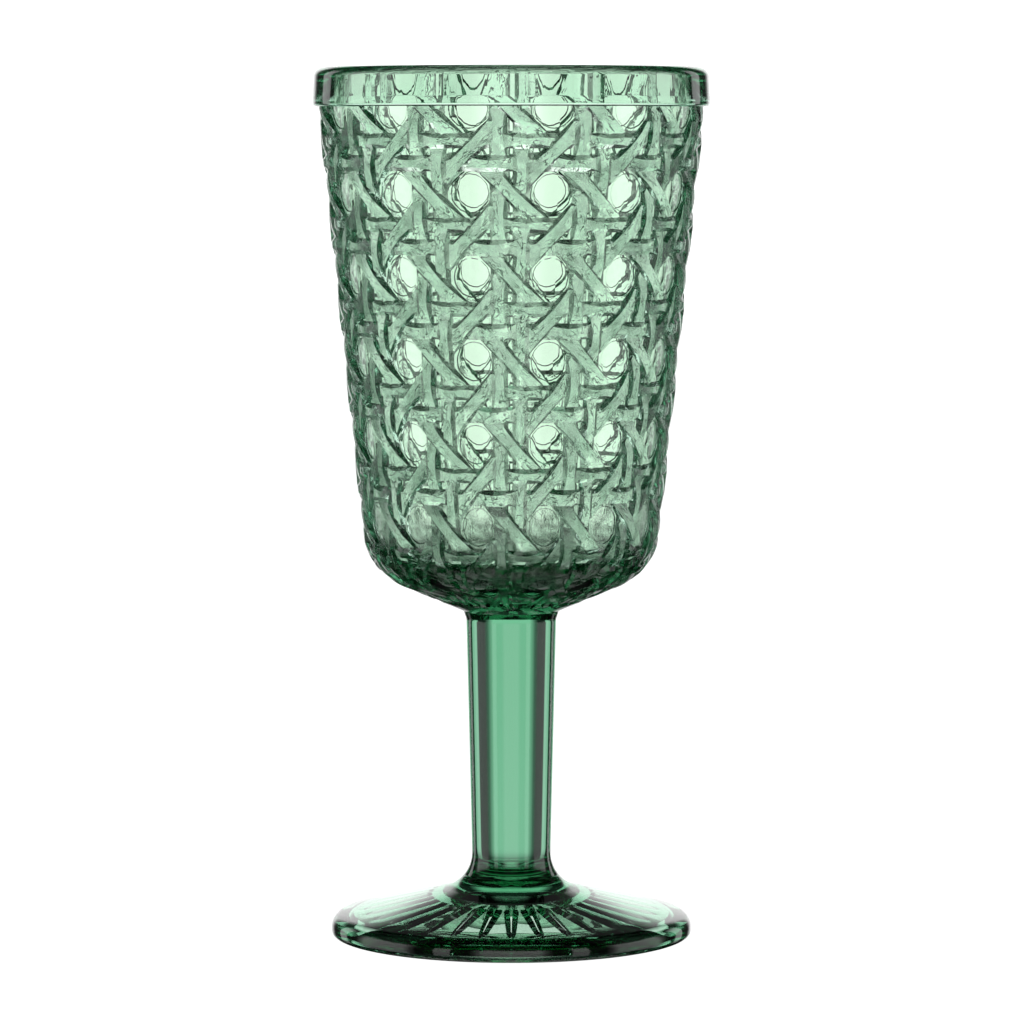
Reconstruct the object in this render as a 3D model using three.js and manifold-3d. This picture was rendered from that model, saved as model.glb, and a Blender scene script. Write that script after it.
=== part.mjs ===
// Pressed glass goblet: a bowl with cane windows, a solid stem and a fluted foot, hot joined face to face.
// Millimetres, +Z up, origin on the table at the centre of the foot.
import * as THREE from "three";
import { mergeVertices } from "three/addons/utils/BufferGeometryUtils.js";
import Module from "manifold-3d";

const wasm = await Module();
wasm.setup();

// Driving heights.
const GLASS_HEIGHT = 172;
const STEM_TOP_HEIGHT = 64.7; // the joint between the stem and the bowl

// Driving radii and walls.
const RIM_RADIUS = 38.8; // the plain band under the lip
const RIM_BAND_HEIGHT = 7.8;
const BEAD_PROUD = 0.3; // the band's lower bead stands out by this
const BEAD_START = 1.2; // from the band's lower edge
const BEAD_END = 2.7;
const BAND_STEP = 0.55; // the band stands this far proud of the patterned wall
const LIP_ROUND = 1.3;
const BOWL_TAPER = THREE.MathUtils.degToRad(5.91);
const BOWL_WALL = 2.7;
const BOWL_BASE = 10.5; // solid glass between the joint and the floor of the cup
const BOWL_CORNER_OUTER = 13;
const BOWL_CORNER_INNER = 6;
const BOWL_UNDERSIDE_TILT = THREE.MathUtils.degToRad(23);
const STEM_TOP_RADIUS = 9.5;
const STEM_UPPER_RADIUS = 8.95;
const STEM_WAIST_RADIUS = 7.7;
const STEM_FLARE_HEIGHT = 1.6;
const STEM_FLARE_ROUND = 2;
const FOOT_RADIUS = 35.8;
const FOOT_EDGE_HEIGHT = 3.95; // where the foot's cone would meet a sharp edge
const FOOT_EDGE_ROUND = 2.9;
const FOOT_HEEL_ROUND = 1.1; // under the edge, next to the resting ring
const FOOT_CONE_TILT = THREE.MathUtils.degToRad(13.8);
const FOOT_FILLET = 7.2; // the round between the foot's cone and the stem, which the joint halves
const FOOT_RING_WIDTH = 3.4; // the flat ring that touches the table
const FOOT_RING_STEP = 0.8; // the hollow starts with a step of this height and width
const FOOT_HOLLOW_HEIGHT = 4.4; // the underside's height at the central disc
const FOOT_DISC_RADIUS = 12.6;
const FOOT_DISC_STEP = 0.5; // the disc is sunk this much above the hollow's slope

// Cane windows in the bowl's wall.
const WINDOW_COLUMNS = 14;
const WINDOW_ROWS = 6;
const WINDOW_PITCH = 16.05;
const WINDOW_RADIUS = 3.7;
const WINDOW_DEPTH = 0.9;
const TOP_WINDOW_DROP = 8.4; // from the lip to the centre of the top row

// Rays cut in the underside of the foot.
const RAY_COUNT = 32;
const RAY_INNER_RADIUS = 14.8;
const RAY_OUTER_RADIUS = 28.5;
const RAY_DEPTH = 0.8;
const RAY_OVERRUN = 2; // the cutter runs on past the point where the groove ends
const RAY_LAND = 0.3; // plain surface left between two rays at their wide ends

// Facets round each piece: the bowl's count is a multiple of 4 and of the columns.
const BOWL_FACETS = 4 * WINDOW_COLUMNS;
const STEM_FACETS = 40;
const FOOT_FACETS = 2 * RAY_COUNT;
const WINDOW_FACETS = 8;
const ARC_STEPS = 5;
const ROOT_STEPS = 3;
const LIP_STEPS = 3;
const FLARE_STEPS = 2;
const HEEL_STEPS = 3;

const point = (radius, height) => new THREE.Vector2(radius, height);

// The arc that rounds the corner between two straight runs of an outline.
function roundedCorner(before, corner, after, radius, steps = ARC_STEPS) {
  const back = before.clone().sub(corner).normalize();
  const on = after.clone().sub(corner).normalize();
  const half = Math.acos(THREE.MathUtils.clamp(back.dot(on), -1, 1)) / 2;
  const shortest = Math.min(before.distanceTo(corner), after.distanceTo(corner));
  const fitted = Math.min(radius, 0.95 * shortest * Math.tan(half));
  const centre = back.clone().add(on).normalize().multiplyScalar(fitted / Math.sin(half)).add(corner);
  const start = back.multiplyScalar(fitted / Math.tan(half)).add(corner).sub(centre);
  const turn = Math.sign(start.cross(corner.clone().sub(centre))) * (Math.PI - 2 * half);
  const points = [];
  for (let step = 0; step <= steps; step += 1) {
    points.push(start.clone().rotateAround(point(0, 0), (turn * step) / steps).add(centre));
  }
  return points;
}

// The outline starts on the axis below and ends on the axis above, with the solid on its left.
function turned(outline, facets) {
  const body = new THREE.LatheGeometry(outline, facets);
  body.rotateX(Math.PI / 2);
  return body;
}

function solidOf(geometry) {
  const bare = geometry.clone();
  bare.deleteAttribute("normal");
  bare.deleteAttribute("uv");
  const merged = mergeVertices(bare, 1e-4);
  const vertProperties = merged.attributes.position.array;
  const triVerts = new Uint32Array(merged.index.array);
  return new wasm.Manifold(new wasm.Mesh({ numProp: 3, vertProperties, triVerts }));
}

function geometryOf(solid) {
  const mesh = solid.getMesh();
  const geometry = new THREE.BufferGeometry();
  geometry.setAttribute("position", new THREE.BufferAttribute(mesh.vertProperties, 3));
  geometry.setIndex(new THREE.BufferAttribute(mesh.triVerts, 1));
  geometry.computeVertexNormals();
  return geometry;
}

const bandBottom = GLASS_HEIGHT - RIM_BAND_HEIGHT;

// The patterned wall's outer radius at a height: a straight cone that meets the band.
function wallRadius(height) {
  return RIM_RADIUS - BAND_STEP - (bandBottom - height) * Math.tan(BOWL_TAPER);
}

function innerRadius(height) {
  return wallRadius(height) - BOWL_WALL / Math.cos(BOWL_TAPER);
}

// Where the sloping underside would meet the wall if the corner were sharp.
function undersideCorner() {
  const slope = Math.tan(BOWL_UNDERSIDE_TILT);
  const taper = Math.tan(BOWL_TAPER);
  const reach = wallRadius(STEM_TOP_HEIGHT) - STEM_TOP_RADIUS;
  const rise = (reach * slope) / (1 - slope * taper);
  return point(wallRadius(STEM_TOP_HEIGHT + rise), STEM_TOP_HEIGHT + rise);
}

function bowlBlank() {
  const floor = STEM_TOP_HEIGHT + BOWL_BASE;
  const seat = point(STEM_TOP_RADIUS, STEM_TOP_HEIGHT);
  const wallTop = point(wallRadius(bandBottom), bandBottom);
  const bead = RIM_RADIUS + BEAD_PROUD;
  const bandTop = point(RIM_RADIUS, GLASS_HEIGHT);
  const innerTop = point(innerRadius(GLASS_HEIGHT), GLASS_HEIGHT);
  const lipWidth = bandTop.x - innerTop.x;
  const lip = Math.min(LIP_ROUND, 0.45 * lipWidth);
  const innerFoot = point(innerRadius(floor), floor);
  const outline = [point(0, STEM_TOP_HEIGHT), seat];
  outline.push(...roundedCorner(seat, undersideCorner(), wallTop, BOWL_CORNER_OUTER));
  outline.push(wallTop, point(bead, bandBottom + BEAD_START), point(bead, bandBottom + BEAD_END));
  outline.push(...roundedCorner(point(RIM_RADIUS, bandBottom), bandTop, innerTop, lip, LIP_STEPS));
  outline.push(...roundedCorner(bandTop, innerTop, innerFoot, lip, LIP_STEPS));
  outline.push(...roundedCorner(innerTop, innerFoot, point(0, floor), BOWL_CORNER_INNER));
  outline.push(point(0, floor));
  return turned(outline, BOWL_FACETS);
}

// One blind window cutter, square to the wall, at its column and height.
function windowCutter(column, height) {
  const length = 4 * WINDOW_DEPTH;
  const cutter = new THREE.CylinderGeometry(WINDOW_RADIUS, WINDOW_RADIUS, length, WINDOW_FACETS);
  cutter.rotateY(Math.PI / WINDOW_FACETS);
  cutter.rotateZ(-Math.PI / 2 - BOWL_TAPER);
  cutter.rotateX(Math.PI / 2);
  cutter.translate(wallRadius(height) - WINDOW_DEPTH + length / 2, 0, height);
  cutter.rotateZ(-Math.PI / 2 + ((column + 0.5) * 2 * Math.PI) / WINDOW_COLUMNS);
  return solidOf(cutter);
}

// The band and everything above it, which the top row of windows stops at.
function bandKeeper() {
  const reach = 2 * RIM_RADIUS;
  const keeper = new THREE.BoxGeometry(2 * reach, 2 * reach, RIM_BAND_HEIGHT);
  keeper.translate(0, 0, bandBottom + RIM_BAND_HEIGHT / 2);
  return solidOf(keeper);
}

function bowlGeometry() {
  let bowl = solidOf(bowlBlank());
  const keeper = bandKeeper();
  for (let row = 0; row < WINDOW_ROWS; row += 1) {
    const height = GLASS_HEIGHT - TOP_WINDOW_DROP - row * WINDOW_PITCH;
    for (let column = 0; column < WINDOW_COLUMNS; column += 1) {
      bowl = bowl.subtract(windowCutter(column, height).subtract(keeper));
    }
  }
  return geometryOf(bowl);
}

const footEdge = point(FOOT_RADIUS, FOOT_EDGE_HEIGHT);
const footHeel = point(FOOT_RADIUS, 0);
const ringInner = point(FOOT_RADIUS - FOOT_HEEL_ROUND - FOOT_RING_WIDTH, 0);
const stemShoulder = point(STEM_UPPER_RADIUS, STEM_TOP_HEIGHT - STEM_FLARE_HEIGHT);

// The round from the foot's cone up into the stem. Its middle point is the edge of their joint.
function rootArc() {
  const reach = FOOT_RADIUS - STEM_WAIST_RADIUS;
  const root = point(STEM_WAIST_RADIUS, FOOT_EDGE_HEIGHT + reach * Math.tan(FOOT_CONE_TILT));
  return roundedCorner(footEdge, root, stemShoulder, FOOT_FILLET, 2 * ROOT_STEPS);
}

// A solid round stem, slightly thicker towards the bowl, with a flare under it.
function stemGeometry() {
  const root = rootArc().slice(ROOT_STEPS);
  const seat = point(STEM_TOP_RADIUS, STEM_TOP_HEIGHT);
  const outline = [point(0, root[0].y), ...root];
  outline.push(...roundedCorner(root[ROOT_STEPS], stemShoulder, seat, STEM_FLARE_ROUND, FLARE_STEPS));
  outline.push(seat, point(0, STEM_TOP_HEIGHT));
  return turned(outline, STEM_FACETS);
}

// The height of the foot's hollow underside at a radius: a step up from the ring, then a cone.
function hollowHeight(radius) {
  const outer = ringInner.x - FOOT_RING_STEP;
  const rise = FOOT_HOLLOW_HEIGHT - FOOT_RING_STEP;
  return FOOT_RING_STEP + (rise * (outer - radius)) / (outer - FOOT_DISC_RADIUS);
}

function footBlank() {
  const root = rootArc().slice(0, ROOT_STEPS + 1);
  const discEdge = point(FOOT_DISC_RADIUS, FOOT_HOLLOW_HEIGHT);
  const discTop = FOOT_HOLLOW_HEIGHT + FOOT_DISC_STEP;
  const outline = [point(0, discTop), point(FOOT_DISC_RADIUS - FOOT_DISC_STEP, discTop), discEdge];
  outline.push(point(ringInner.x - FOOT_RING_STEP, FOOT_RING_STEP), ringInner);
  outline.push(...roundedCorner(ringInner, footHeel, footEdge, FOOT_HEEL_ROUND, HEEL_STEPS));
  outline.push(...roundedCorner(footHeel, footEdge, root[0], FOOT_EDGE_ROUND));
  outline.push(...root, point(0, root[ROOT_STEPS].y));
  return turned(outline, FOOT_FACETS);
}

// One ray: a V groove with its wide end near the disc and its point near the foot's edge.
function rayCutter(index) {
  const halfWidth = RAY_INNER_RADIUS * Math.tan(Math.PI / RAY_COUNT) - RAY_LAND / 2;
  const below = FOOT_HOLLOW_HEIGHT;
  const inner = hollowHeight(RAY_INNER_RADIUS);
  const outer = hollowHeight(RAY_OUTER_RADIUS);
  const grow = (inner + below) / RAY_DEPTH;
  const section = new THREE.Shape();
  section.moveTo(-halfWidth * grow, -RAY_DEPTH * grow);
  section.lineTo(halfWidth * grow, -RAY_DEPTH * grow);
  section.lineTo(0, 0);
  const length = RAY_OUTER_RADIUS - RAY_INNER_RADIUS + RAY_OVERRUN;
  const cutter = new THREE.ExtrudeGeometry(section, { depth: length, bevelEnabled: false });
  cutter.rotateX(Math.PI / 2);
  cutter.rotateZ(Math.PI / 2);
  const tilt = Math.atan2(inner + RAY_DEPTH - outer, RAY_OUTER_RADIUS - RAY_INNER_RADIUS);
  cutter.rotateY(tilt);
  cutter.translate(RAY_INNER_RADIUS, 0, inner + RAY_DEPTH);
  cutter.rotateZ(-Math.PI / 2 + (index * 2 * Math.PI) / RAY_COUNT);
  return solidOf(cutter);
}

function footGeometry() {
  let foot = solidOf(footBlank());
  for (let index = 0; index < RAY_COUNT; index += 1) {
    foot = foot.subtract(rayCutter(index));
  }
  return geometryOf(foot);
}

function glassPiece(name, geometry) {
  const color = new THREE.Color(0x8fd8b0);
  const glass = new THREE.MeshStandardMaterial({ color, roughness: 0.05, metalness: 0 });
  const mesh = new THREE.Mesh(geometry, glass);
  mesh.name = name;
  return mesh;
}

const goblet = new THREE.Group();
goblet.add(glassPiece("bowl", bowlGeometry()));
goblet.add(glassPiece("stem", stemGeometry()));
goblet.add(glassPiece("foot", footGeometry()));

export default goblet;
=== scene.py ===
import math
from functools import partial

import bmesh
import bpy
import numpy as np
from mathutils import Matrix, Vector


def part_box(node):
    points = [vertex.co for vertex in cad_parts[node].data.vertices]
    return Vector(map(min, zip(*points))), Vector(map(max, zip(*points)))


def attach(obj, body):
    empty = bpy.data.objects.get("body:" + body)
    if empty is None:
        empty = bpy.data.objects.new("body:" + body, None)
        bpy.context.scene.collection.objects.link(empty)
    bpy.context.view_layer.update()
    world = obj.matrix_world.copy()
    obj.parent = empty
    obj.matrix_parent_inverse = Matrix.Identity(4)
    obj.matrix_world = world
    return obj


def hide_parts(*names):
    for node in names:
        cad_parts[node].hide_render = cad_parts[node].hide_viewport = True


bl_info = {
    "name": "Pressed Glass Goblet",
    "version": (1, 0, 0),
    "blender": (4, 5, 0),
    "location": "View3D > Sidebar > Goblet",
    "description": "Models a pressed glass goblet with a cane weave bowl around its packed frame",
    "category": "Object",
}

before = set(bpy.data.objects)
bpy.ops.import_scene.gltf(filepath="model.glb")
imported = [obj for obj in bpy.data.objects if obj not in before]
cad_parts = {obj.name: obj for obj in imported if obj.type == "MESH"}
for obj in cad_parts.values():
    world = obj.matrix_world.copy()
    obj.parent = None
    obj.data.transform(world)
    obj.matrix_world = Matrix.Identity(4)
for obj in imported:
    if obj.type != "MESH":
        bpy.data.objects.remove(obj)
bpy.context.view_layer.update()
BODY = "root"
MM = 0.001

GLASS_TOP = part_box("bowl")[1].z
STEM_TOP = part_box("bowl")[0].z
BEAD_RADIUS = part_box("bowl")[1].x
FOOT_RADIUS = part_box("foot")[1].x

# The joint faces overlap by this much, so no air is left between two pieces of glass.
JOINT_OVERLAP = 0.04 * MM
JOINT_INSET = 0.1 * MM  # how far inside the outline a joint face starts

HAIR = 1e-6  # metres; points nearer than this are one
WEAVE_WELD = 2e-6  # the same for the woven sheet, whose halves meet at a seam
SMOOTH_WEAVE = math.radians(28)  # edges sharper than this stay sharp
SMOOTH_PLAIN = math.radians(30)


# ---------------------------------------------------------------- properties


def length(name, description, default_mm):
    """A size property, in metres, from its millimetres."""
    return bpy.props.FloatProperty(
        name=name, description=description, default=default_mm * MM, unit="LENGTH", precision=5
    )


class BowlSizes(bpy.types.PropertyGroup):
    columns: bpy.props.IntProperty(name="Columns", description="Cane windows round the bowl", default=14)
    pitch: length("Pitch", "Height from one row of windows to the next", 16.05)
    top_drop: length("Top row", "From the lip to the centre of the top row", 8.4)
    relief: length("Relief", "Height of a strand over the ground", 1.2)
    pane_step: length("Pane step", "Depth of a window pane under the ground", 0.2)
    wall: length("Wall", "Glass from the strands' tops to the inside", 2.7)
    base: length("Base", "Solid glass under the cup", 10.5)
    band: length("Band", "Height of the plain band under the lip", 7.8)
    band_step: length("Band step", "How far the band stands out from the strands", 0.55)
    bead: length("Bead", "How far the band's lower bead stands out", 0.3)
    lip: length("Lip", "Rounding inside the lip", 0.9)
    lip_outer: length("Outer lip", "Rounding outside the lip", 1.9)
    corner_outer: length("Outer corner", "Rounding under the bowl", 13)
    corner_inner: length("Inner corner", "Rounding inside the cup", 6)
    weave_end: length("Weave end", "Radius where the weave stops under the bowl", 14.5)
    taper: bpy.props.FloatProperty(
        name="Taper", description="Lean of the wall", default=math.radians(5.91), subtype="ANGLE"
    )
    underside: bpy.props.FloatProperty(
        name="Underside", description="Slope under the bowl", default=math.radians(23), subtype="ANGLE"
    )


class StemSizes(bpy.types.PropertyGroup):
    top: length("Top radius", "Radius where the stem meets the bowl", 9.5)
    upper: length("Upper radius", "Radius under the flare", 8.95)
    waist: length("Waist radius", "Radius above the foot", 7.7)
    flare: length("Flare", "Height of the flare under the bowl", 1.6)
    flare_round: length("Flare rounding", "Rounding at the start of the flare", 2)


class FootSizes(bpy.types.PropertyGroup):
    edge_height: length("Edge height", "Where the cone would meet a sharp edge", 3.95)
    edge_round: length("Edge rounding", "Rounding over the edge", 2.9)
    heel_round: length("Heel rounding", "Rounding under the edge", 1.1)
    fillet: length("Fillet", "Rounding between the foot and the stem", 7.2)
    ring: length("Ring", "Width of the flat resting ring", 3.4)
    ring_step: length("Ring step", "Height and width of the step inside the ring", 0.8)
    hollow: length("Hollow", "Height of the hollow at the central disc", 4.4)
    disc: length("Disc", "Radius of the central disc", 12.6)
    disc_step: length("Disc step", "Height of the step round the disc", 0.5)
    rays: bpy.props.IntProperty(name="Rays", description="Rays pressed under the foot", default=32)
    ray_inner: length("Ray start", "Radius of the rays' wide ends", 14.8)
    ray_outer: length("Ray end", "Radius of the rays' blunt tips", 28.5)
    ray_depth: length("Ray depth", "Depth of a ray", 1.5)
    ray_wall: length("Ray wall", "Width of a ray's sloping sides", 1.25)
    ray_tip: length("Ray tip", "Half the width of a ray at its tip", 0.9)
    tilt: bpy.props.FloatProperty(
        name="Tilt", description="Slope of the foot's top", default=math.radians(13.8), subtype="ANGLE"
    )


def linear(hex_colour):
    """An sRGB hex colour as linear light."""
    channels = [int(hex_colour[i : i + 2], 16) / 255 for i in (1, 3, 5)]
    return tuple(c / 12.92 if c <= 0.04045 else ((c + 0.055) / 1.055) ** 2.4 for c in channels)


def colour(name, description, hex_colour):
    """A colour property, from its sRGB hex."""
    return bpy.props.FloatVectorProperty(
        name=name, description=description, default=linear(hex_colour), subtype="COLOR", min=0, max=1
    )


class GlassLook(bpy.types.PropertyGroup):
    skin: colour("Skin", "Tint of one wall, however thin", "#F7FFF5")
    # The mark colour is painted shade: it is mixed into the base colour along the bark marks and stands in
    # for the light that they refract away.
    mark: colour("Mark", "Tint of a bark mark's shaded edge", "#285A41")
    tint: colour("Tint", "What the glass lets through in its thickness", "#27C297")
    density: bpy.props.FloatProperty(
        name="Density", description="Depth of the tint, per metre", default=112
    )
    ior: bpy.props.FloatProperty(
        name="IOR", description="Refraction of soda-lime glass", default=1.52
    )


class StageLook(bpy.types.PropertyGroup):
    table: colour("Table", "Colour of the table", "#F3F3F3")
    glow: colour("Table light", "Light that the table gives back", "#FFFFFF")
    air: colour("Surround", "Colour of the soft surround", "#FFFFFF")


# ---------------------------------------------------------------- outlines


def point(radius, height):
    """A place in the plane of an outline."""
    return Vector((radius, height))


def rounded_corner(before, corner, after, radius, steps=8):
    """The arc that rounds the corner between two straight runs of an outline."""
    back = (before - corner).normalized()
    on = (after - corner).normalized()
    half = back.angle(on) / 2
    centre = corner + (back + on).normalized() * (radius / math.sin(half))
    start = corner + back * (radius / math.tan(half)) - centre
    turn = math.copysign(math.pi - 2 * half, start.cross(corner - centre))
    return [centre + Matrix.Rotation(turn * step / steps, 2) @ start for step in range(steps + 1)]


def run(start, end, steps):
    """Evenly spaced points from start to end, without the start."""
    return [start.lerp(end, step / steps) for step in range(1, steps + 1)]


def bowl_outline(sizes):
    """The named points of the bowl's outline that the weave, band and cup share."""
    band_bottom = GLASS_TOP - sizes.band
    rim = BEAD_RADIUS - sizes.bead
    wall_top = point(rim - sizes.band_step, band_bottom)
    slope = math.tan(sizes.underside)
    taper = math.tan(sizes.taper)
    wall_low = wall_top.x - (band_bottom - STEM_TOP) * taper
    stem_top = bpy.context.scene.stem_sizes.top
    rise = (wall_low - stem_top) * slope / (1 - slope * taper)
    corner = point(wall_low + rise * taper, STEM_TOP + rise)
    seat = point(stem_top, STEM_TOP)
    return {"wall_top": wall_top, "corner": corner, "seat": seat, "rim": rim, "band_bottom": band_bottom}


# ---------------------------------------------------------------- modelling helpers


def start_piece(name, size=1.0, location=(0, 0, 0)):
    """Adds a plane as the start of a piece and opens it in edit mode."""
    if bpy.context.object and bpy.context.object.mode != "OBJECT":
        bpy.ops.object.mode_set(mode="OBJECT")
    bpy.ops.object.select_all(action="DESELECT")
    bpy.ops.mesh.primitive_plane_add(size=size, location=location)
    piece = bpy.context.object
    piece.name = name
    piece.data.name = name
    bpy.ops.object.mode_set(mode="EDIT")
    return piece


def select_faces(piece, chosen):
    """Selects the faces whose centre passes the test, and nothing else."""
    bpy.ops.mesh.select_mode(type="FACE")
    bpy.ops.mesh.select_all(action="DESELECT")
    mesh = bmesh.from_edit_mesh(piece.data)
    for face in mesh.faces:
        face.select_set(bool(chosen(face.calc_center_median())))
    bmesh.update_edit_mesh(piece.data)


def select_edges(piece, chosen):
    """Selects the edges that pass the test, and nothing else."""
    bpy.ops.mesh.select_mode(type="EDGE")
    bpy.ops.mesh.select_all(action="DESELECT")
    mesh = bmesh.from_edit_mesh(piece.data)
    for edge in mesh.edges:
        edge.select_set(bool(chosen(edge)))
    bmesh.update_edit_mesh(piece.data)


def move_selected(piece, place):
    """Moves each selected vertex to the place that the function gives for it."""
    mesh = bmesh.from_edit_mesh(piece.data)
    for vertex in mesh.verts:
        if vertex.select:
            vertex.co = place(vertex.co)
    bmesh.update_edit_mesh(piece.data)


def finish_piece(piece, node, material, smooth_angle):
    """Shades, dresses and declares a finished piece."""
    if bpy.context.object.mode != "OBJECT":
        bpy.ops.object.mode_set(mode="OBJECT")
    bpy.ops.object.select_all(action="DESELECT")
    piece.select_set(True)
    bpy.context.view_layer.objects.active = piece
    bpy.ops.object.transform_apply(location=True, rotation=True, scale=True)
    bpy.ops.object.shade_smooth_by_angle(angle=smooth_angle)
    piece.data.materials.clear()
    piece.data.materials.append(material)
    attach(piece, BODY)
    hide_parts(node)


def spin_outline(piece, outline, steps):
    """Draws an outline as a chain of edges and spins it into a closed body."""
    bpy.ops.mesh.merge(type="CENTER")
    mesh = bmesh.from_edit_mesh(piece.data)
    mesh.verts.ensure_lookup_table()
    mesh.verts[0].co = (outline[0].x, 0, outline[0].y)
    mesh.verts[0].select_set(True)
    bmesh.update_edit_mesh(piece.data)
    for before, after in zip(outline, outline[1:]):
        step = after - before
        bpy.ops.mesh.extrude_vertices_move(TRANSFORM_OT_translate={"value": (step.x, 0, step.y)})
    bpy.ops.mesh.select_all(action="SELECT")
    bpy.ops.mesh.spin(steps=steps, angle=2 * math.pi, center=(0, 0, 0), axis=(0, 0, 1))
    bpy.ops.mesh.select_all(action="SELECT")
    bpy.ops.mesh.remove_doubles(threshold=HAIR)
    bpy.ops.mesh.normals_make_consistent(inside=False)


def mark_faces(piece, name, chosen):
    """Writes a face attribute that is 1 where the face's centre passes the test, and 0 elsewhere."""
    attribute = piece.data.attributes.get(name) or piece.data.attributes.new(name, "FLOAT", "FACE")
    values = [float(bool(chosen(face.center))) for face in piece.data.polygons]
    attribute.data.foreach_set("value", values)


# ---------------------------------------------------------------- cane weave


# Strands are given in cell units, with (0, 0) at the centre of a window. Each is
# (centre line, half width, start, end), and runs on top of its neighbours from start to end.
UPRIGHTS = ((0.3485, 0.1085, 0.453, 1.0), (0.621, 0.105, 0.029, 0.531))
LEVELS = ((0.6215, 0.0905, 0.457, 0.9715), (0.356, 0.097, 0.006, 0.516))
SLANT_LINE = 0.5  # where a slanted strand's centre line crosses the axes
SLANT_HALF = 0.15
SLASH_REACH = (-0.274, 0.24)  # from the second upright's edge to the first one's
BACKSLASH_REACH = (-0.288, 0.259)
STRAND_SIDE = 0.056  # width of a strand's steep side where it stands highest
SIDE_SHRINK = 0.6  # share of that width that is lost where it dips under another
UNDER_SHARE = 0.5  # a strand's height where it dips under another
UNDER_RELIEF = 0.5  # share of the relief that is left under the bowl
CROWN_DROP = 0.06  # how far a strand's top falls from its middle to its edges
LEAST_STRAND = 0.02  # height, as a share of the relief, from which a face is part of a strand

OPENING_REACH = 0.45  # the whole opening of a window is nearer to its centre than this
WINDOW_GUIDES = (-0.14, 0.0, 0.14)  # cuts that give a window's opening more corners
PANE_RADIUS = 0.238
PANE_SIDE = 0.012
PANE_RINGS = (0.16, 0.09)
PANE_MARK = 0.01  # panes are kept this far under the flat weave until it is wrapped

CUT_SNAP = 1e-5  # cell units within which a cut uses a corner that is there
SAME_LINE = 1e-4  # cell units within which two places are one
SAME_HEIGHT = 1e-3

# The bark grain is shifted by these, in cells, so that no two strands carry the same marks.
GRAIN_ROUND, GRAIN_DOWN, GRAIN_STRAND = 3.7, 5.3, 1.9
STIPPLE = 0.8  # grain of the lowest windows, as a share of the strands'
STIPPLE_LIFT, STIPPLE_REACH = 0.1, 0.45  # in rows, about the start of the round under the bowl


def wrapped(values):
    """The same places in the cell round the origin."""
    return (values + 0.5) % 1.0 - 0.5


def strand_height(across, half, along, half_length):
    """A strand's height, as a share of the relief: crowned, with ends that dip under its neighbours."""
    side = np.clip((half - np.abs(across)) / STRAND_SIDE, 0, 1)
    crown = 1 - CROWN_DROP * np.clip(np.abs(across) / half, 0, 1) ** 2
    arch = np.clip(1 - (along / half_length) ** 2, 0, 1)
    return side * crown * (UNDER_SHARE + (1 - UNDER_SHARE) * arch)


def strand_runs(u, v):
    """Each strand's line across, place along, half width, start, end and way across."""
    runs = [(u - centre, v, half, start, end, (1, 0)) for centre, half, start, end in UPRIGHTS]
    runs += [(v - centre, u, half, start, end, (0, 1)) for centre, half, start, end in LEVELS]
    runs.append((v - u - SLANT_LINE, u, SLANT_HALF, *SLASH_REACH, (-0.5, 0.5)))
    runs.append((v + u - SLANT_LINE, v, SLANT_HALF, *BACKSLASH_REACH, (0.5, 0.5)))
    return runs


def strand_fields(u, v):
    """For each strand: its height, and the place along and across it, over arrays of cell coordinates."""
    fields = []
    for line, place, half, start, end, way in strand_runs(u, v):
        across = wrapped(line)
        along = wrapped(place - (start + end) / 2)
        half_length = (end - start) / 2
        height = strand_height(across, half, along, half_length)
        if 0 not in way:  # a slanted strand stops at its ends, where the others run on below
            height = height * (np.abs(along) < half_length + STRAND_SIDE)
            along, across = along * math.sqrt(2), across / math.sqrt(2)
        fields.append((height, along, across))
    return fields


def bow_shoulders(u, v):
    """Moves the vertices on each strand's shoulder lines outwards where the strand dips."""
    best = np.max([field[0] for field in strand_fields(u, v)], axis=0)
    moved_u, moved_v = u.copy(), v.copy()
    for line, place, half, start, end, (way_u, way_v) in strand_runs(u, v):
        across = wrapped(line)
        along = wrapped(place - (start + end) / 2)
        half_length = (end - start) / 2
        own = strand_height(across, half, along, half_length)
        shoulder = np.abs(np.abs(across) - (half - STRAND_SIDE)) < SAME_LINE
        on_top = (np.abs(along) <= half_length + SAME_LINE) & (own >= best - SAME_HEIGHT)
        dip = np.clip(np.abs(along / half_length), 0, 1) ** 2
        shift = np.where(shoulder & on_top, np.sign(across) * STRAND_SIDE * SIDE_SHRINK * dip, 0)
        moved_u += shift * way_u
        moved_v += shift * way_v
    return moved_u, moved_v


def cane_cell(piece):
    """Cuts one flat cell along its strands' edges and its window's guide lines."""

    def between(value, low, high):
        return low < wrapped(value) < high

    def cut(place, direction, chosen=lambda centre: True):
        select_faces(piece, chosen)
        bpy.ops.mesh.bisect(plane_co=place, plane_no=direction, threshold=CUT_SNAP)

    def edge_lines(centre, half):
        low, high = centre - half, centre + half
        return (low, low + STRAND_SIDE, centre, high - STRAND_SIDE, high)

    for centre, half, _, _ in UPRIGHTS:
        for line in edge_lines(centre, half):
            cut((wrapped(line), 0, 0), (1, 0, 0))
    for centre, half, _, _ in LEVELS:
        for line in edge_lines(centre, half):
            cut((0, wrapped(line), 0), (0, 1, 0))
    for line in WINDOW_GUIDES:
        cut((line, 0, 0), (1, 0, 0))
        cut((0, line, 0), (0, 1, 0))
    for line in edge_lines(SLANT_LINE, SLANT_HALF):
        for turn in (-1, 0):
            cut((0, line + turn, 0), (-1, 1, 0), lambda c: between(c.x, *SLASH_REACH))
            cut((0, line + turn, 0), (1, 1, 0), lambda c: between(c.y, *BACKSLASH_REACH))


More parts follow.
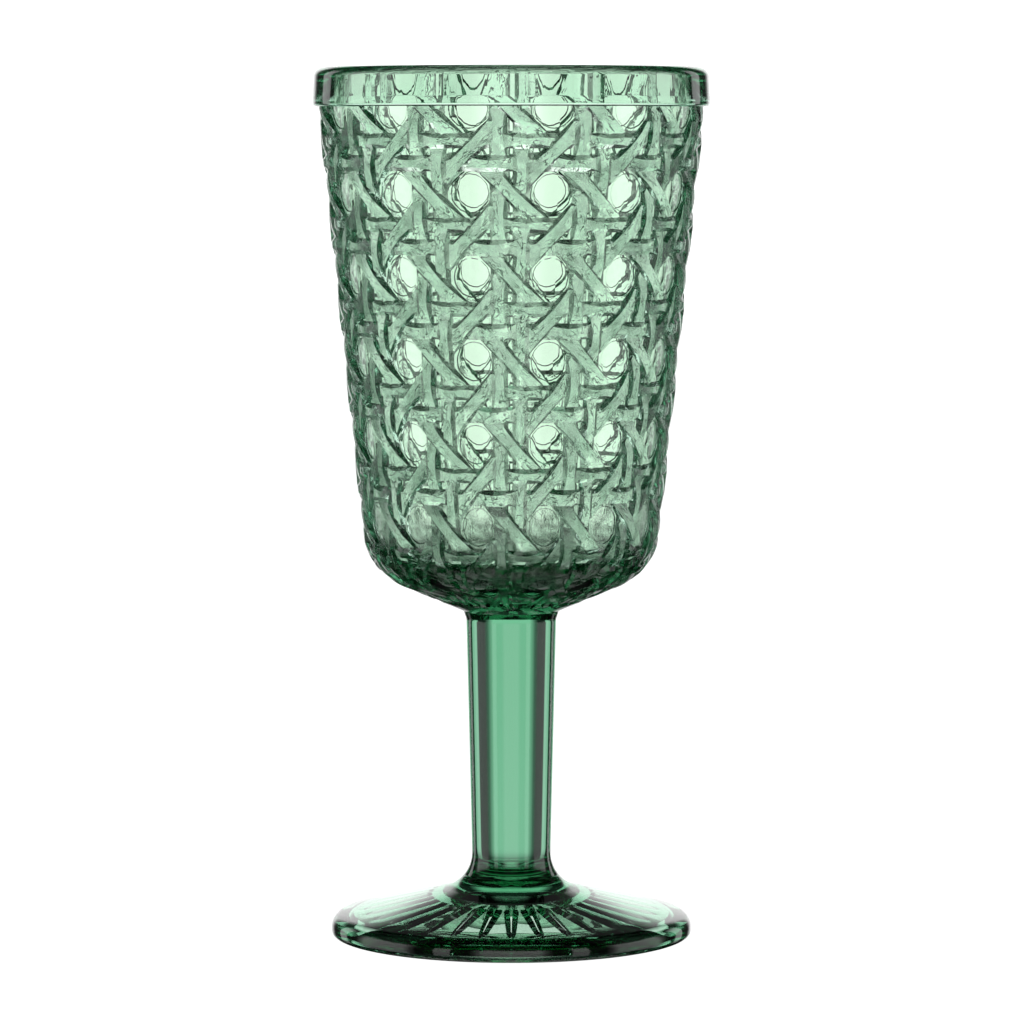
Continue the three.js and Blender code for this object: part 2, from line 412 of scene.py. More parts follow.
def sink_window(piece):
    """Swaps the faces inside the eight sided opening for a ring, a step and a round pane."""
    reach = SLANT_LINE - SLANT_HALF
    (left, right), (low, high) = SLASH_REACH, BACKSLASH_REACH

    def inside(centre):
        slanted = abs(centre.x + centre.y) < reach and abs(centre.y - centre.x) < reach
        return slanted and left < centre.x < right and low < centre.y < high

    select_faces(piece, inside)
    bpy.ops.mesh.delete(type="FACE")
    select_edges(piece, lambda e: e.is_boundary and max(v.co.length for v in e.verts) < OPENING_REACH)
    rings = [(PANE_RADIUS, 0.0)]
    rings += [(radius, -PANE_MARK) for radius in (PANE_RADIUS - PANE_SIDE, *PANE_RINGS)]
    for radius, level in rings:
        bpy.ops.mesh.extrude_edges_move()

        def onto_ring(place):
            flat = Vector((place.x, place.y, 0)).normalized() * radius
            return Vector((flat.x, flat.y, level))

        move_selected(piece, onto_ring)
    bpy.ops.mesh.extrude_edges_move()
    bpy.ops.mesh.merge(type="CENTER")


def weave_sheet(piece, columns, rows):
    """Repeats the cell into a sheet, and joins the copies."""
    bpy.ops.object.mode_set(mode="OBJECT")
    for count, offset in ((columns, (1, 0, 0)), (rows, (0, -1, 0))):
        array = piece.modifiers.new("Repeat", "ARRAY")
        array.count = count
        array.use_relative_offset = False
        array.use_constant_offset = True
        array.constant_offset_displace = offset
        array.use_merge_vertices = True
        array.merge_threshold = SAME_LINE
        bpy.ops.object.modifier_apply(modifier=array.name)
    bpy.ops.object.mode_set(mode="EDIT")


class WeaveProfile:
    """The outer outline that the weave follows: the wall, the round corner and the underside."""

    def __init__(self, sizes):
        outline = bowl_outline(sizes)
        self.top = outline["wall_top"]
        half = (self.top - outline["corner"]).angle(outline["seat"] - outline["corner"]) / 2
        self.radius = sizes.corner_outer
        trim = self.radius / math.tan(half)
        down = (outline["corner"] - self.top).normalized()
        self.down = down
        self.straight = (outline["corner"] - self.top).length - trim
        self.turn = math.pi - 2 * half
        self.round_length = self.turn * self.radius
        self.arc_start = self.top + down * self.straight
        inward = Vector((down.y, -down.x))
        self.centre = self.arc_start + inward * self.radius
        self.angle = math.atan2(-inward.y, -inward.x)
        self.seat_way = (outline["seat"] - outline["corner"]).normalized()
        self.arc_end = outline["corner"] + self.seat_way * trim

    def place(self, distance, height):
        """Radii and heights at arrays of distances down the outline, raised by height along the normal."""
        arc = np.clip((distance - self.straight) / self.radius, 0, self.turn)
        on_wall = np.clip(distance, None, self.straight)
        past = np.clip(distance - self.straight - self.round_length, 0, None)
        normal_angle = self.angle - arc
        normal_x, normal_y = np.cos(normal_angle), np.sin(normal_angle)
        wall_x = self.top.x + self.down.x * on_wall
        wall_y = self.top.y + self.down.y * on_wall
        bend_x = (normal_x - math.cos(self.angle)) * self.radius
        bend_y = (normal_y - math.sin(self.angle)) * self.radius
        x = wall_x + bend_x + self.seat_way.x * past + normal_x * height
        y = wall_y + bend_y + self.seat_way.y * past + normal_y * height
        return x, y

    def distance_to_radius(self, radius):
        """How far down the outline the underside reaches a radius."""
        return self.straight + self.round_length + (self.arc_end.x - radius) / -self.seat_way.x


def wrap_weave(piece, sizes, profile, pitch, first_drop):
    """Raises the strands and wraps the flat sheet round the bowl's outline."""
    mesh = piece.data
    count = len(mesh.vertices)
    flat = np.empty(count * 3)
    mesh.vertices.foreach_get("co", flat)
    flat = flat.reshape(-1, 3)
    u, v, level = flat[:, 0], flat[:, 1], flat[:, 2]
    distance = first_drop - v * pitch
    under = np.clip((distance - profile.straight) / profile.round_length, 0, 1)
    relief = sizes.relief * (1 - (1 - UNDER_RELIEF) * under)
    height = np.max([field[0] for field in strand_fields(u, v)], axis=0) * relief
    pane = level < -PANE_MARK / 2
    in_ring = (wrapped(u) ** 2 + wrapped(v) ** 2) < (PANE_RADIUS + SAME_LINE) ** 2
    height = np.where(in_ring, 0, height)
    height = np.where(pane, -sizes.pane_step, height)
    bowed_u, bowed_v = bow_shoulders(u, v)
    u, v = np.where(in_ring, u, bowed_u), np.where(in_ring, v, bowed_v)
    radius, up = profile.place(first_drop - v * pitch, height - relief)
    angle = (u + 0.5) * 2 * math.pi / sizes.columns
    wrapped_places = np.stack([radius * np.sin(angle), -radius * np.cos(angle), up], axis=1)
    mesh.vertices.foreach_set("co", wrapped_places.ravel())
    mesh.update()


def lay_grain(piece, fade_row):
    """Gives each face grain coordinates along its strand, in cells, and marks what is hazy and what
    carries bark marks, which set both a bump and painted shade.
    """
    mesh = piece.data
    grain = mesh.uv_layers.new(name="Grain")
    corners = np.empty(len(mesh.loops), dtype=int)
    mesh.loops.foreach_get("vertex_index", corners)
    flat = np.empty(len(mesh.vertices) * 3)
    mesh.vertices.foreach_get("co", flat)
    flat = flat.reshape(-1, 3)
    totals = np.empty(len(mesh.polygons), dtype=int)
    mesh.polygons.foreach_get("loop_total", totals)
    middles = np.empty(len(mesh.polygons) * 3)
    mesh.polygons.foreach_get("center", middles)
    middles = middles.reshape(-1, 3)
    heights = np.array([field[0] for field in strand_fields(middles[:, 0], middles[:, 1])])
    owner = np.argmax(heights, axis=0)
    window = np.hypot(wrapped(middles[:, 0]), wrapped(middles[:, 1])) < PANE_RADIUS
    woven = (np.max(heights, axis=0) > LEAST_STRAND) & ~window
    owner_of_corner = np.repeat(owner, totals)
    middle_of_corner = np.repeat(middles, totals, axis=0)
    corner_u = flat[corners, 0]
    corner_v = flat[corners, 1]
    here = strand_fields(middle_of_corner[:, 0], middle_of_corner[:, 1])
    along = np.choose(owner_of_corner, [field[1] for field in here])
    across = np.choose(owner_of_corner, [field[2] for field in here])
    step_u = corner_u - middle_of_corner[:, 0]
    step_v = corner_v - middle_of_corner[:, 1]
    root = math.sqrt(0.5)
    along_steps = [step_v, step_v, step_u, step_u, (step_u + step_v) * root, (step_v - step_u) * root]
    across_steps = [step_u, step_u, step_v, step_v, (step_v - step_u) * root, (step_u + step_v) * root]
    along = along + np.choose(owner_of_corner, along_steps)
    across = across + np.choose(owner_of_corner, across_steps)
    cell = np.floor(middle_of_corner[:, :2] + 0.5)
    shift = cell[:, 0] * GRAIN_ROUND + cell[:, 1] * GRAIN_DOWN
    along = along + owner_of_corner * GRAIN_STRAND + shift
    grain.data.foreach_set("uv", np.stack([along, across], axis=1).ravel())
    fade = np.clip(middles[:, 1] + fade_row + 0.5, 0, 1)
    stippled = ~woven & (np.abs(middles[:, 1] + fade_row - STIPPLE_LIFT) < STIPPLE_REACH)
    marks = {"strand": woven + stippled * STIPPLE, "bark": woven * fade + stippled * STIPPLE}
    for name, values in marks.items():
        mark = mesh.attributes.new(name, "FLOAT", "FACE")
        mark.data.foreach_set("value", values.astype(np.float32))


# ---------------------------------------------------------------- materials


BARK_LENGTH = 1.9 * MM  # a bark mark, along its strand
BARK_WIDTH = 0.95 * MM
BARK_DEPTH = 0.15 * MM
PAINTED_BARK_SHADE = 0.9  # how far a mark's painted shade darkens the glass's base colour
BARK_LINE = 0.032  # how near the noise's middle level a mark is cut
BARK_DETAIL, BARK_TWIST = 2.0, 0.8  # what makes the marks wander
BARK_PATCH = 0.45  # patches of marks to one mark, along a strand
BARK_BARE, BARK_FULL = 0.46, 0.56  # the patches' noise levels where marks begin and are full
BARK_FAINT = 0.1  # strength of the marks between the patches
STRAND_HAZE = 0.16  # roughness of a strand, which hides the far wall behind it
WAVE_LENGTH = 9 * MM  # slow ripples that the fire polish leaves
WAVE_DEPTH = 0.012 * MM
MIX_FIRST, MIX_SECOND, MIX_COLOUR = 6, 7, 2  # a mix node's colour sockets


def add_node(tree, kind, settings=None, inputs=None):
    """Adds a node with its settings, and with its inputs set or linked."""
    node = tree.nodes.new(kind)
    for key, value in (settings or {}).items():
        setattr(node, key, value)
    for key, value in (inputs or {}).items():
        if isinstance(value, bpy.types.NodeSocket):
            tree.links.new(value, node.inputs[key])
        else:
            node.inputs[key].default_value = value
    return node


def empty_material(name):
    material = bpy.data.materials.new(name)
    material.use_nodes = True
    material.node_tree.nodes.clear()
    return material


def maths(tree, operation, first, second):
    """A maths node's output, from two values or sockets."""
    return add_node(tree, "ShaderNodeMath", {"operation": operation}, {0: first, 1: second}).outputs[0]


def smooth_range(tree, value, span, low, high):
    """Eases a value from low to high over a span of it."""
    limits = {"Value": value, "From Min": span[0], "From Max": span[1], "To Min": low, "To Max": high}
    return add_node(tree, "ShaderNodeMapRange", {"interpolation_type": "SMOOTHSTEP"}, limits).outputs[0]


def bark_depth_and_painted_shade(tree, pitch):
    """Fine wandering scratches in patches along the strands, as the mould's cut bark leaves them; the same
    value sets their bump and their painted shade.
    """
    scale = (pitch / BARK_LENGTH, pitch / BARK_WIDTH, 1)
    grain = add_node(tree, "ShaderNodeUVMap", {"uv_map": "Grain"})
    bark = add_node(tree, "ShaderNodeMapping", inputs={"Vector": grain.outputs["UV"], "Scale": scale})
    lines = {"Scale": 1.0, "Detail": BARK_DETAIL, "Distortion": BARK_TWIST}
    cloud = add_node(tree, "ShaderNodeTexNoise", inputs={"Vector": bark.outputs["Vector"], **lines})
    patches = {"Vector": bark.outputs["Vector"], "Scale": BARK_PATCH, "Detail": 0.0}
    patch = add_node(tree, "ShaderNodeTexNoise", inputs=patches)
    barked = add_node(tree, "ShaderNodeAttribute", {"attribute_name": "bark"})
    off_middle = maths(tree, "ABSOLUTE", maths(tree, "SUBTRACT", cloud.outputs["Fac"], 0.5), 0.0)
    scratch = smooth_range(tree, off_middle, (0.0, BARK_LINE), -1.0, 0.0)
    scarred = smooth_range(tree, patch.outputs["Fac"], (BARK_BARE, BARK_FULL), BARK_FAINT, 1.0)
    return maths(tree, "MULTIPLY", scratch, maths(tree, "MULTIPLY", scarred, barked.outputs["Fac"]))


def strand_haze(tree):
    """Roughness of the strands' cut bark; most windows between them are clear."""
    strand = add_node(tree, "ShaderNodeAttribute", {"attribute_name": "strand"})
    return maths(tree, "MULTIPLY", strand.outputs["Fac"], STRAND_HAZE)


def wave_height(tree):
    """Slow ripples in a plain fire-polished face."""
    place = add_node(tree, "ShaderNodeTexCoord")
    ripples = {"Vector": place.outputs["Object"], "Scale": 1 / WAVE_LENGTH, "Detail": 1.0}
    return add_node(tree, "ShaderNodeTexNoise", inputs=ripples).outputs["Fac"]


def soda_lime(name, look, relief, depth, haze=None):
    """Clear green soda-lime glass, tinted in its thickness, with a fine relief of a depth in metres. Where
    a haze is given, the relief also darkens the base colour towards the mark colour as painted shade.
    """
    material = empty_material(name)
    tree = material.node_tree
    height = relief(tree)
    bump = add_node(tree, "ShaderNodeBump", inputs={"Height": height, "Strength": 1.0, "Distance": depth})
    skin = (*look.skin, 1)
    if haze:
        # Painted shade: the base colour darkens towards the mark colour along each bark mark.
        painted_shade = maths(tree, "MULTIPLY", height, -PAINTED_BARK_SHADE)
        painted_shade_inputs = {0: painted_shade, MIX_FIRST: skin, MIX_SECOND: (*look.mark, 1)}
        skin = add_node(tree, "ShaderNodeMix", {"data_type": "RGBA"}, painted_shade_inputs).outputs[MIX_COLOUR]
    surface = {
        "Base Color": skin,
        "Transmission Weight": 1.0,
        "IOR": look.ior,
        "Roughness": haze(tree) if haze else 0.0,
        "Normal": bump.outputs["Normal"],
    }
    glass = add_node(tree, "ShaderNodeBsdfPrincipled", inputs=surface)
    joint = add_node(tree, "ShaderNodeAttribute", {"attribute_name": "joint"})
    open_face = add_node(tree, "ShaderNodeBsdfTransparent")
    faces = {0: joint.outputs["Fac"], 1: glass.outputs[0], 2: open_face.outputs[0]}
    mixed = add_node(tree, "ShaderNodeMixShader", inputs=faces)
    depth_tint = {"Color": (*look.tint, 1), "Density": look.density}
    tint = add_node(tree, "ShaderNodeVolumeAbsorption", inputs=depth_tint)
    ends = {"Surface": mixed.outputs[0], "Volume": tint.outputs[0]}
    add_node(tree, "ShaderNodeOutputMaterial", inputs=ends)
    return material


# ---------------------------------------------------------------- pieces


BAND_TUCK, BAND_LIFT = 0.35 * MM, 0.05 * MM  # where the band's underside starts, inside the rim
BEAD_RISE, BEAD_TOP = 0.3 * MM, 2.0 * MM  # the bead's lower and upper ends, over the band's bottom
BEAD_ROUND, BAND_ROUND = 0.5 * MM, 4.0 * MM
WEAVE_MARGIN = 0.5 * MM  # plain glass under the end of the weave
POLE_RING = 0.4 * MM  # radius of the last ring round the middle of the cup's floor


class GOBLET_OT_bowl(bpy.types.Operator):
    """Models the bowl: a woven sheet wrapped round its outline, closed by the band, the lip and the cup"""

    bl_idname = "goblet.bowl"
    bl_label = "Bowl"

    def execute(self, context):
        sizes = context.scene.bowl_sizes
        profile = WeaveProfile(sizes)
        pitch = sizes.pitch / math.cos(sizes.taper)
        first_drop = (sizes.top_drop - sizes.band) / math.cos(sizes.taper)
        last = profile.distance_to_radius(sizes.weave_end)
        rows = math.ceil((last - first_drop) / pitch + 0.5)
        piece = start_piece("bowl_glass")
        cane_cell(piece)
        sink_window(piece)
        weave_sheet(piece, sizes.columns, rows)
        for height, way in ((first_drop / pitch, (0, -1, 0)), ((first_drop - last) / pitch, (0, 1, 0))):
            end = (0, height, 0)
            bpy.ops.mesh.select_all(action="SELECT")
            bpy.ops.mesh.bisect(plane_co=end, plane_no=way, clear_inner=True, threshold=CUT_SNAP)
        bpy.ops.object.mode_set(mode="OBJECT")
        lay_grain(piece, (profile.straight - first_drop) / pitch)
        wrap_weave(piece, sizes, profile, pitch, first_drop)
        bpy.ops.object.mode_set(mode="EDIT")
        bpy.ops.mesh.select_all(action="SELECT")
        bpy.ops.mesh.remove_doubles(threshold=WEAVE_WELD)
        woven_faces = len(bmesh.from_edit_mesh(piece.data).faces)
        self.close_top(piece, sizes)
        self.close_bottom(piece, sizes)
        self.unmark_plain_faces(piece, woven_faces)
        bpy.ops.mesh.select_all(action="SELECT")
        bpy.ops.mesh.quads_convert_to_tris(quad_method="BEAUTY", ngon_method="BEAUTY")
        bpy.ops.mesh.normals_make_consistent(inside=False)
        bpy.ops.object.mode_set(mode="OBJECT")
        seat = context.scene.stem_sizes.top
        mark_faces(piece, "joint", lambda c: c.z < STEM_TOP - HAIR and math.hypot(c.x, c.y) < seat)
        # Soda-lime glass pressed in an iron mould whose strands were cut with a bark grain: clear windows,
        # and strands that are slightly hazy and carry short wandering marks, bumped into the surface and
        # darkened by painted shade in the base colour.
        look = context.scene.glass_look
        name = "Mould pressed soda-lime glass, bark strands"
        relief = partial(bark_depth_and_painted_shade, pitch=sizes.pitch)
        material = soda_lime(name, look, relief, BARK_DEPTH, strand_haze)
        finish_piece(piece, "bowl", material, SMOOTH_WEAVE)
        return {"FINISHED"}

    def rings(self, piece, outline):
        """Extrudes the selected loop through the outline's points, keeping each vertex's bearing."""
        for spot in outline:
            bpy.ops.mesh.extrude_edges_move()

            def onto_ring(place):
                flat = Vector((place.x, place.y, 0)).normalized() * spot.x
                return Vector((flat.x, flat.y, spot.y))

            move_selected(piece, onto_ring)

    def unmark_plain_faces(self, piece, woven_faces):
        """Takes the marks off the faces that were extruded from the weave's edges."""
        mesh = bmesh.from_edit_mesh(piece.data)
        for name in ("strand", "bark"):
            mark = mesh.faces.layers.float[name]
            for place, face in enumerate(mesh.faces):
                if place >= woven_faces:
                    face[mark] = 0
        bmesh.update_edit_mesh(piece.data)

    def close_top(self, piece, sizes):
        """The band, the lip and the inside of the cup."""
        outline = bowl_outline(sizes)
        middle = (GLASS_TOP + STEM_TOP) / 2
        select_edges(piece, lambda e: e.is_boundary and e.verts[0].co.z > middle)
        bottom = outline["band_bottom"]
        rim = outline["rim"]
        bead = point(BEAD_RADIUS, bottom + BEAD_TOP)
        top = point(rim, GLASS_TOP)
        lean = math.tan(sizes.taper)
        inner = outline["wall_top"].x - sizes.wall / math.cos(sizes.taper)
        inner_top = point(inner + sizes.band * lean, GLASS_TOP)
        floor = STEM_TOP + sizes.base
        inner_low = point(inner - (bottom - floor) * lean, floor)
        start = point(rim - BAND_TUCK, bottom + BAND_LIFT)
        low = point(BEAD_RADIUS, bottom + BEAD_RISE)
        path = [start, *rounded_corner(start, low, bead, BEAD_ROUND, steps=4)]
        path += rounded_corner(point(BEAD_RADIUS, bottom), bead, top, BAND_ROUND, steps=3)
        path += rounded_corner(bead, top, inner_top, sizes.lip_outer, steps=8)
        path += rounded_corner(top, inner_top, inner_low, sizes.lip, steps=6)
        inside = rounded_corner(inner_top, inner_low, point(0, floor), sizes.corner_inner, steps=14)
        path += run(path[-1], inside[0], steps=6) + inside[1:]
        path += run(inside[-1], point(POLE_RING, floor), steps=4)
        self.rings(piece, path)
        bpy.ops.mesh.merge(type="CENTER")

    def close_bottom(self, piece, sizes):
        """The plain ring under the weave and the face that the stem joins."""
        seat = bowl_outline(sizes)["seat"]
        select_edges(piece, lambda e: e.is_boundary)
        radius = sizes.weave_end - WEAVE_MARGIN
        start = point(radius, seat.y + (radius - seat.x) * math.tan(sizes.underside))
        path = [start] + run(start, seat, steps=3)
        path += [point(reach, seat.y - JOINT_OVERLAP) for reach in (seat.x - JOINT_INSET, seat.x / 2)]
        self.rings(piece, path)
        bpy.ops.mesh.extrude_edges_move()
        bpy.ops.mesh.merge(type="CENTER")


ROOT_STEPS = 8  # steps of the round on each side of the joint between the foot and the stem


def root_arc(context):
    """The round from the foot's cone up into the stem; its middle point is the edge of their joint."""
    foot, stem = context.scene.foot_sizes, context.scene.stem_sizes
    root = point(stem.waist, foot.edge_height + (FOOT_RADIUS - stem.waist) * math.tan(foot.tilt))
    shoulder = point(stem.upper, STEM_TOP - stem.flare)
    edge = point(FOOT_RADIUS, foot.edge_height)
    return rounded_corner(edge, root, shoulder, foot.fillet, steps=2 * ROOT_STEPS)


STEM_STEPS = 128  # slices of the stem


class GOBLET_OT_stem(bpy.types.Operator):
    """Models the solid stem by spinning its outline"""

    bl_idname = "goblet.stem"
    bl_label = "Stem"

    def execute(self, context):
        sizes = context.scene.stem_sizes
        root = root_arc(context)[ROOT_STEPS:]
        shoulder = point(sizes.upper, STEM_TOP - sizes.flare)
        seat = point(sizes.top, STEM_TOP)
        joint_low = root[0]
        outline = [point(0, joint_low.y - JOINT_OVERLAP)]
        outline += [point(joint_low.x - JOINT_INSET, joint_low.y - JOINT_OVERLAP), *root]
        flare = rounded_corner(root[-1], shoulder, seat, sizes.flare_round, steps=6)
        outline += run(root[-1], flare[0], steps=6) + flare[1:]
        outline += [seat, point(seat.x - JOINT_INSET, seat.y + JOINT_OVERLAP)]
        outline += [point(0, seat.y + JOINT_OVERLAP)]
        piece = start_piece("stem_glass", 1 * MM)
        spin_outline(piece, outline, STEM_STEPS)
        bpy.ops.object.mode_set(mode="OBJECT")
        mark_faces(piece, "joint", lambda c: c.z > STEM_TOP + HAIR or c.z < joint_low.y - HAIR)
        # Pressed soda-lime glass, fire polished: bright and clear, with only slow ripples left.
        look = context.scene.glass_look
        material = soda_lime("Fire polished soda-lime glass, stem", look, wave_height, WAVE_DEPTH)
        finish_piece(piece, "stem", material, SMOOTH_PLAIN)
        return {"FINISHED"}


RAY_STEPS = 6  # slices of the foot for each ray
RAY_MARGIN = 0.7 * MM  # plain hollow inside the rays' wide ends
ON_RING = 1e-5  # metres within which a vertex is on a ring
# Half widths of a ray's floor and of its whole opening, at the ray's two ends.
RAY_HEAD_SHARES = (0.4, 0.8)  # of the widest
RAY_TIP_SHARES = (0.3, 0.6)  # of the tip
RAY_OVERHANG = 0.1  # share of a wall's width by which a ray's floor reaches under it
RAY_CLOSING = 0.55  # share of a ray's length where its floor has narrowed to a line
RAY_LINE, RAY_LAST_LINE = 0.12 * MM, 0.08 * MM  # half widths of that line
RAY_LAST_DEPTH = 0.75  # share of the depth that is left where the ray's end wall starts


class GOBLET_OT_foot(bpy.types.Operator):
    """Models the foot by spinning its outline and pressing rays into its hollow"""

    bl_idname = "goblet.foot"
    bl_label = "Foot"

    def execute(self, context):
        sizes = context.scene.foot_sizes
        root = root_arc(context)[: ROOT_STEPS + 1]
        joint = root[-1]
        edge = point(FOOT_RADIUS, sizes.edge_height)
        heel = point(FOOT_RADIUS, 0)
        ring = point(FOOT_RADIUS - sizes.heel_round - sizes.ring, 0)
        hollow_start = point(ring.x - sizes.ring_step, sizes.ring_step)
        disc = point(sizes.disc, sizes.hollow)

        def on_hollow(radius):
            return hollow_start.lerp(disc, (hollow_start.x - radius) / (hollow_start.x - disc.x))

        top = sizes.hollow + sizes.disc_step
        outline = [point(radius, top) for radius in (0, sizes.disc / 2, sizes.disc - sizes.disc_step)]
        outline += [disc, on_hollow(sizes.ray_inner - RAY_MARGIN)]
        outline += [on_hollow(radius) for radius, _, _ in self.ray_rings(sizes)]
        outline += [hollow_start, ring]
        outline += rounded_corner(ring, heel, edge, sizes.heel_round, steps=6)
        outline += rounded_corner(heel, edge, root[0], sizes.edge_round, steps=12)
        outline += run(outline[-1], root[0], steps=6) + root[1:]
        outline += [point(radius, joint.y + JOINT_OVERLAP) for radius in (joint.x - JOINT_INSET, 0)]
        piece = start_piece("foot_glass", 1 * MM)
        spin_outline(piece, outline, RAY_STEPS * sizes.rays)
        self.press_rays(piece, sizes, on_hollow)
        bpy.ops.object.mode_set(mode="OBJECT")
        mark_faces(piece, "joint", lambda c: c.z > joint.y + HAIR)
        # Pressed soda-lime glass, fire polished on top; its rays keep the mould's sharp edges.
        look = context.scene.glass_look
        material = soda_lime("Fire polished soda-lime glass, foot", look, wave_height, WAVE_DEPTH)
        finish_piece(piece, "foot", material, SMOOTH_PLAIN)
        return {"FINISHED"}

    def press_rays(self, piece, sizes, on_hollow):
        """Shifts the hollow's rings into pressed rays: a floor, its sloping sides and the land between."""
        step = 2 * math.pi / sizes.rays
        rings = self.ray_rings(sizes)
        mesh = bmesh.from_edit_mesh(piece.data)
        for vertex in mesh.verts:
            radius = math.hypot(vertex.co.x, vertex.co.y)
            for ring, half_widths, depth in rings:
                if abs(radius - ring) > ON_RING or abs(vertex.co.z - on_hollow(ring).y) > ON_RING:
                    continue
                turn = math.atan2(vertex.co.x, -vertex.co.y) / step
                place = round((turn - round(turn)) * RAY_STEPS)
                if abs(place) < RAY_STEPS // 2:
                    aside = math.copysign(half_widths[abs(place)], place) / ring
                    angle = round(turn) * step + aside
                    vertex.co.x = ring * math.sin(angle)
                    vertex.co.y = -ring * math.cos(angle)
                if abs(place) <= 1:
                    vertex.co.z += depth
        bmesh.update_edit_mesh(piece.data)

    def ray_rings(self, sizes):
        """Each ring's radius, its half widths (middle line, floor, opening) and its depth."""
        inner, outer, wall, tip = sizes.ray_inner, sizes.ray_outer, sizes.ray_wall, sizes.ray_tip
        widest = math.pi * inner / sizes.rays
        closing = inner + (outer - inner) * RAY_CLOSING
        head = [widest * share for share in RAY_HEAD_SHARES]
        end = [tip * share for share in RAY_TIP_SHARES]
        floor = widest + RAY_OVERHANG * wall - wall
        return (
            (inner, (0, *head), 0),
            (inner + wall, (0, floor, widest), sizes.ray_depth),
            (closing, (0, RAY_LINE, (widest + tip) / 2), sizes.ray_depth),
            (outer - wall, (0, RAY_LAST_LINE, tip), RAY_LAST_DEPTH * sizes.ray_depth),
            (outer, (0, *end), 0),
        )


# ---------------------------------------------------------------- stage


CAMERA_PLACE = (0.14 * MM, -960 * MM, 158.5 * MM)
CAMERA_DIP = 4.42  # degrees below level
CAMERA_LENS = 170.92

CAMERA_NEAR = 50 * MM

TABLE_SIZE = 6.0
TABLE_DROP = 0.0002  # keeps the table clear of the ring that the goblet rests on
BOUNCES = 32  # light crosses many faces of glass on its way
MIRROR_BOUNCES = 16

# The surround's light: by bearing, in degrees from the middle of a panel, and by the sine of
# its height. The dark gaps draw the edges of the glass; the light from below fills the glass
# as it is seen from above.
HALF_PANEL = 45
PANEL_LIGHT = 1.5
PANELS = ((0, 1), (17, 1), (23, 0.25), (27, 0.03), (38.5, 0.03), (40, 0.9), (45, 0.9))
BELT = (
    (-1, 0.8),
    (-0.82, 0.7),
    (-0.68, 0.01),
    (-0.42, 0.01),
    (-0.33, 0.35),
    (-0.18, 0.75),
    (-0.06, 0.85),
    (0.03, 0.9),
    (0.2, 1),
    (0.32, 1),
    (0.45, 0.05),
    (1, 0.02),
)


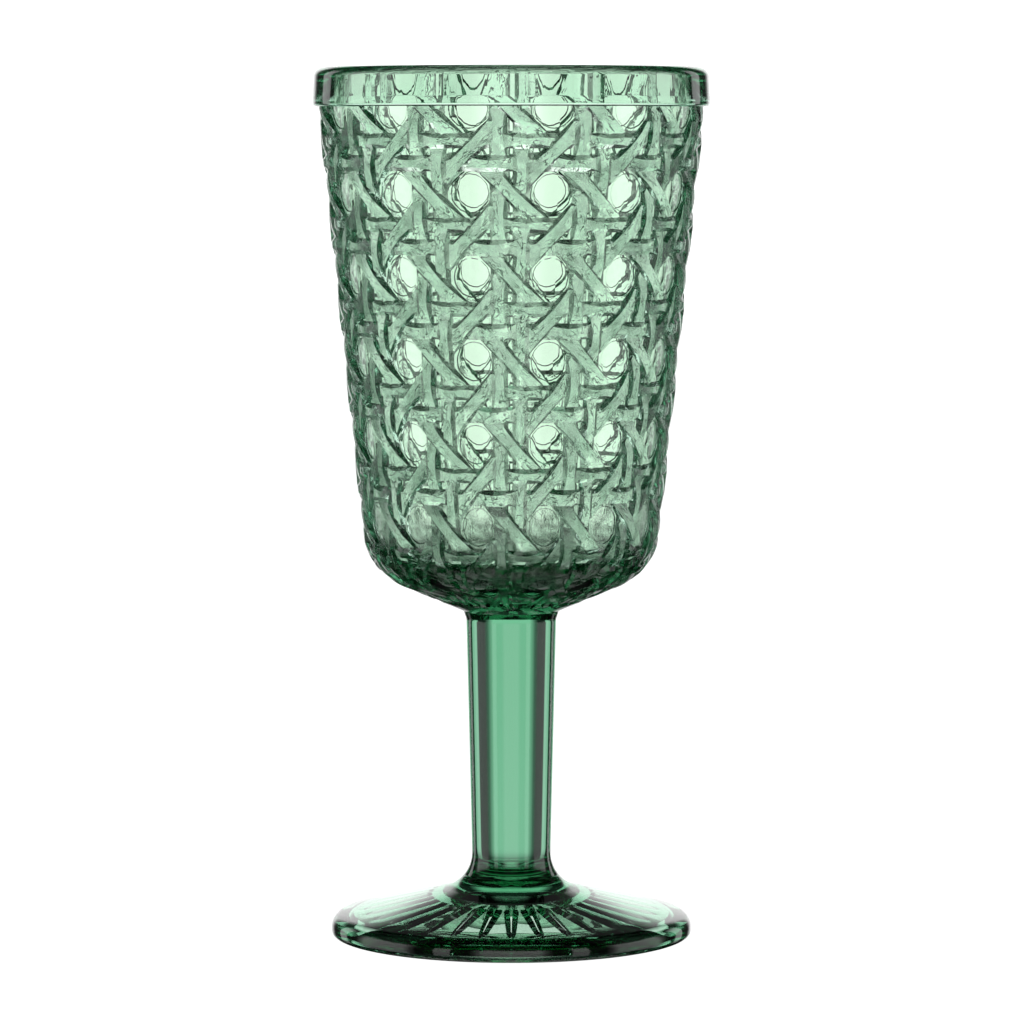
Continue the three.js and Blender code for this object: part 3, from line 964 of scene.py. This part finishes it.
class GOBLET_OT_stage(bpy.types.Operator):
    """Sets the floor, the soft surround and the camera"""

    bl_idname = "goblet.stage"
    bl_label = "Stage"

    def execute(self, context):
        scene = context.scene
        scene.view_settings.view_transform = "Standard"
        scene.cycles.max_bounces = BOUNCES
        scene.cycles.transmission_bounces = BOUNCES
        scene.cycles.glossy_bounces = MIRROR_BOUNCES
        scene.cycles.transparent_max_bounces = BOUNCES
        self.floor()
        self.surround(scene)
        self.camera(scene)
        return {"FINISHED"}

    def floor(self):
        floor = start_piece("floor", TABLE_SIZE, (0, 0, -TABLE_DROP))
        bpy.ops.mesh.subdivide(number_cuts=3)
        bpy.ops.object.mode_set(mode="OBJECT")
        material = empty_material("Matt white table")
        look = bpy.context.scene.stage_look
        paint = {
            "Base Color": (*look.table, 1),
            "Roughness": 0.9,
            "Emission Color": (*look.glow, 1),
            "Emission Strength": 1.0,
        }
        paper = add_node(material.node_tree, "ShaderNodeBsdfPrincipled", inputs=paint)
        add_node(material.node_tree, "ShaderNodeOutputMaterial", inputs={"Surface": paper.outputs[0]})
        floor.data.materials.append(material)
        floor.visible_transmission = False
        floor.visible_glossy = False

    def surround(self, scene):
        world = bpy.data.worlds.new("Soft surround")
        scene.world = world
        world.use_nodes = True
        tree = world.node_tree
        tree.nodes.clear()
        way = add_node(tree, "ShaderNodeTexCoord")
        axes = add_node(tree, "ShaderNodeSeparateXYZ", inputs={0: way.outputs["Generated"]})
        bearing = maths(tree, "ARCTAN2", axes.outputs["X"], axes.outputs["Y"])
        fold = maths(tree, "PINGPONG", maths(tree, "DIVIDE", bearing, math.radians(HALF_PANEL)), 1.0)
        rise = maths(tree, "MULTIPLY", maths(tree, "ADD", axes.outputs["Z"], 1.0), 0.5)
        panels = self.ramp(tree, fold, [(angle / HALF_PANEL, level) for angle, level in PANELS])
        belt = self.ramp(tree, rise, [((height + 1) / 2, level) for height, level in BELT])
        shade = maths(tree, "MULTIPLY", maths(tree, "MULTIPLY", panels, PANEL_LIGHT), belt)
        ray = add_node(tree, "ShaderNodeLightPath")
        seen = maths(tree, "MAXIMUM", shade, ray.outputs["Is Camera Ray"])
        air = {"Color": (*bpy.context.scene.stage_look.air, 1), "Strength": seen}
        light = add_node(tree, "ShaderNodeBackground", inputs=air)
        add_node(tree, "ShaderNodeOutputWorld", inputs={"Surface": light.outputs[0]})

    def ramp(self, tree, value, stops):
        """A grey ramp through the stops, each a place from 0 to 1 and its level."""
        node = add_node(tree, "ShaderNodeValToRGB", inputs={"Fac": value})
        node.color_ramp.interpolation = "LINEAR"
        elements = node.color_ramp.elements
        elements[1].position = 1.0
        for place, _ in stops[1:-1]:
            elements.new(place)
        for element, (place, level) in zip(elements, stops):
            element.position = place
            element.color = (level, level, level, 1)
        return node.outputs[0]

    def camera(self, scene):
        data = bpy.data.cameras.new("Camera")
        data.lens = CAMERA_LENS
        data.clip_start = CAMERA_NEAR
        camera = bpy.data.objects.new("Camera", data)
        scene.collection.objects.link(camera)
        camera.location = CAMERA_PLACE
        camera.rotation_euler = (math.radians(90 - CAMERA_DIP), 0, 0)
        scene.camera = camera


class GOBLET_PT_panel(bpy.types.Panel):
    """Lists the goblet's pieces"""

    bl_idname = "GOBLET_PT_panel"
    bl_label = "Pressed glass goblet"
    bl_space_type = "VIEW_3D"
    bl_region_type = "UI"
    bl_category = "Goblet"

    def draw(self, context):
        for operator in OPERATORS:
            self.layout.operator(operator.bl_idname)


GROUPS = {
    "bowl_sizes": BowlSizes,
    "stem_sizes": StemSizes,
    "foot_sizes": FootSizes,
    "glass_look": GlassLook,
    "stage_look": StageLook,
}
OPERATORS = (GOBLET_OT_stage, GOBLET_OT_foot, GOBLET_OT_stem, GOBLET_OT_bowl)


def register():
    for group in GROUPS.values():
        bpy.utils.register_class(group)
    for name, group in GROUPS.items():
        setattr(bpy.types.Scene, name, bpy.props.PointerProperty(type=group))
    for operator in OPERATORS:
        bpy.utils.register_class(operator)
    bpy.utils.register_class(GOBLET_PT_panel)


def unregister():
    bpy.utils.unregister_class(GOBLET_PT_panel)
    for operator in reversed(OPERATORS):
        bpy.utils.unregister_class(operator)
    for name in GROUPS:
        delattr(bpy.types.Scene, name)
    for group in reversed(GROUPS.values()):
        bpy.utils.unregister_class(group)


def main():
    register()
    bpy.ops.goblet.stage()
    bpy.ops.goblet.foot()
    bpy.ops.goblet.stem()
    bpy.ops.goblet.bowl()


if __name__ == "__main__":
    main()
